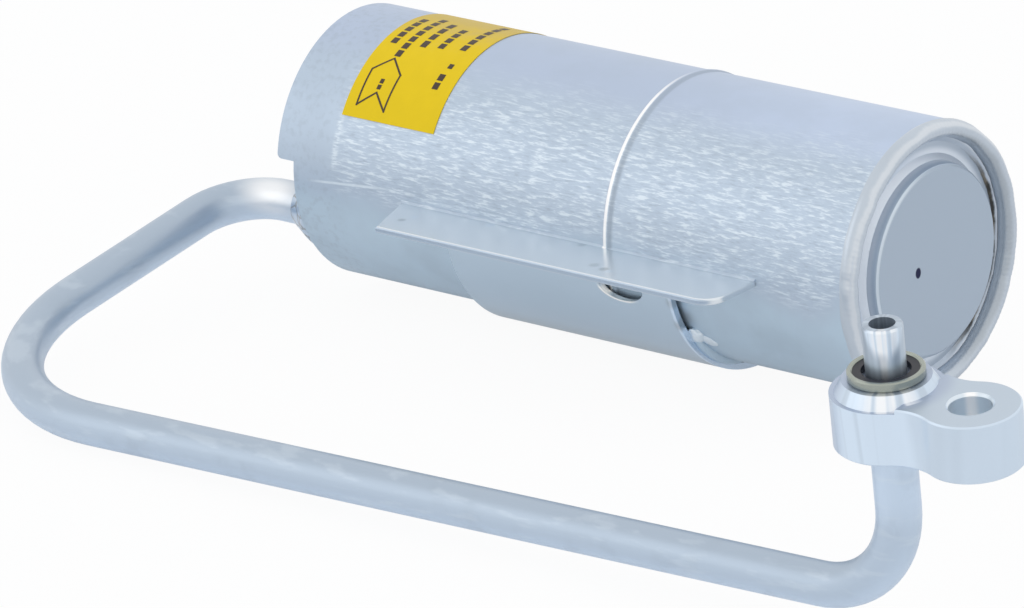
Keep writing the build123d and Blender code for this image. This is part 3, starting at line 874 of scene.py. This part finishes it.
def ribbon(points, width):
    """Flat strokes along a run of (station, angle) points on the label."""
    verts, faces = [], []
    for (x0, a0), (x1, a1) in zip(points, points[1:]):
        y0, y1 = radians(a0) * CAN_R, radians(a1) * CAN_R
        length = sqrt((x1 - x0) ** 2 + (y1 - y0) ** 2)
        dx, dy = (x1 - x0) / length * width / 2, (y1 - y0) / length * width / 2
        steps = max(2, int(length / PRINT_STEP))
        base = len(verts)
        for k in range(steps + 1):
            t = k / steps
            x = x0 - dx + (x1 - x0 + 2 * dx) * t
            y = y0 - dy + (y1 - y0 + 2 * dy) * t
            for side in (-1, 1):
                angle = degrees((y + side * dx) / CAN_R)
                verts.append(on_can(x - side * dy, angle, CAN_R + PRINT_LIFT))
        faces += [(base + 2 * k, base + 2 * k + 2, base + 2 * k + 3, base + 2 * k + 1) for k in range(steps)]
    return verts, faces


def row_marks(station, low, high, count):
    """Middle lines and thickness of the plain marks that stand for a printed row."""
    pitch = (high - low) / count
    half = (1 - ROW_GAP) * pitch / 2
    thick = min(ROW_THICK, MARK_STOUT * radians(half) * CAN_R)
    reach = half - degrees(thick / 2 / CAN_R)
    for k in range(count):
        middle = low + (k + 0.5) * pitch
        yield [(station * MM, middle - reach), (station * MM, middle + reach)], thick


def label_print():
    """Arrow outline and rows of plain marks."""
    runs = [([(x * MM, angle) for x, angle in ARROW], ARROW_STROKE)]
    for row in ROWS:
        runs += row_marks(*row)
    verts, faces = [], []
    for points, width in runs:
        append_mesh(verts, faces, *ribbon(points, width))
    ink = plain("label_ink", INK, 0.45)
    make_piece("label_print", verts, faces, ink, smooth=False, turn_out=False)


# --- stage, light and camera ---
def make_floor():
    mesh = bpy.data.meshes.new("floor")
    corners = [(x * FLOOR_HALF, y * FLOOR_HALF, 0) for x, y in ((-1, -1), (1, -1), (1, 1), (-1, 1))]
    mesh.from_pydata(corners, [], [(0, 1, 2, 3)])
    floor = bpy.data.objects.new("floor", mesh)
    floor.location = (0, 0, FLOOR_Z)
    bpy.context.scene.collection.objects.link(floor)
    mesh.materials.append(floor_material())


def floor_material():
    """Lit like plain paper, and plain white where the camera or a shine looks at it."""
    paper = bpy.data.materials.new("floor_white")
    paper.use_nodes = True
    tree = paper.node_tree
    tree.nodes.clear()
    out = tree.nodes.new("ShaderNodeOutputMaterial")
    lit = add(tree, "ShaderNodeBsdfDiffuse", Color=FLOOR_COLOUR)
    glow = add(tree, "ShaderNodeEmission", Color=WHITE, Strength=1.0)
    path = tree.nodes.new("ShaderNodeLightPath")
    seen = Field(tree, path.outputs["Is Camera Ray"]) * CAMERA_WHITE
    shine = Field(tree, path.outputs["Is Glossy Ray"]) * GLOSSY_WHITE
    mix = tree.nodes.new("ShaderNodeMixShader")
    feed(tree, mix.inputs[0], seen + shine)
    tree.links.new(lit.outputs[0], mix.inputs[1])
    tree.links.new(glow.outputs[0], mix.inputs[2])
    tree.links.new(mix.outputs[0], out.inputs["Surface"])
    return paper


def make_world():
    world = bpy.data.worlds.new("studio")
    bpy.context.scene.world = world
    world.use_nodes = True
    back = world.node_tree.nodes["Background"]
    back.inputs["Color"].default_value = (1, 1, 1, 1)
    back.inputs["Strength"].default_value = WORLD_STRENGTH


def key_lamp():
    lamp = bpy.data.lights.new("key", "AREA")
    lamp.shape = "RECTANGLE"
    lamp.size, lamp.size_y = KEY_SIZE
    lamp.energy = KEY_POWER
    stand = bpy.data.objects.new("key", lamp)
    stand.location = ORIGIN + Vector(KEY_PLACE)
    aim = ORIGIN + CAM_TARGET - stand.location
    stand.rotation_euler = aim.to_track_quat("-Z", "Y").to_euler()
    bpy.context.scene.collection.objects.link(stand)


def make_camera():
    az, el, roll = radians(CAM_AZIMUTH), radians(CAM_ELEVATION), radians(CAM_ROLL)
    back = Vector((sin(az) * cos(el), -cos(az) * cos(el), sin(el)))
    right = Vector((cos(az), sin(az), 0))
    up = back.cross(right)
    x_axis = cos(roll) * right + sin(roll) * up
    y_axis = -sin(roll) * right + cos(roll) * up
    optics = bpy.data.cameras.new("camera")
    optics.lens = CAM_LENS
    optics.sensor_width = CAM_SENSOR
    optics.clip_end = CAM_CLIP
    camera = bpy.data.objects.new("camera", optics)
    turn = Matrix((x_axis, y_axis, back)).transposed()
    camera.matrix_world = Matrix.Translation(ORIGIN + CAM_TARGET + back * CAM_DISTANCE) @ turn.to_4x4()
    bpy.context.scene.collection.objects.link(camera)
    bpy.context.scene.camera = camera


def main():
    bpy.context.scene.view_settings.view_transform = "Standard"
    rim, highlight_weld, fillet = dress_frame()
    rim_weld(rim)
    saddle_blob(highlight_weld)
    saddle_fillet(fillet)
    label_print()
    make_floor()
    make_world()
    key_lamp()
    make_camera()


main()
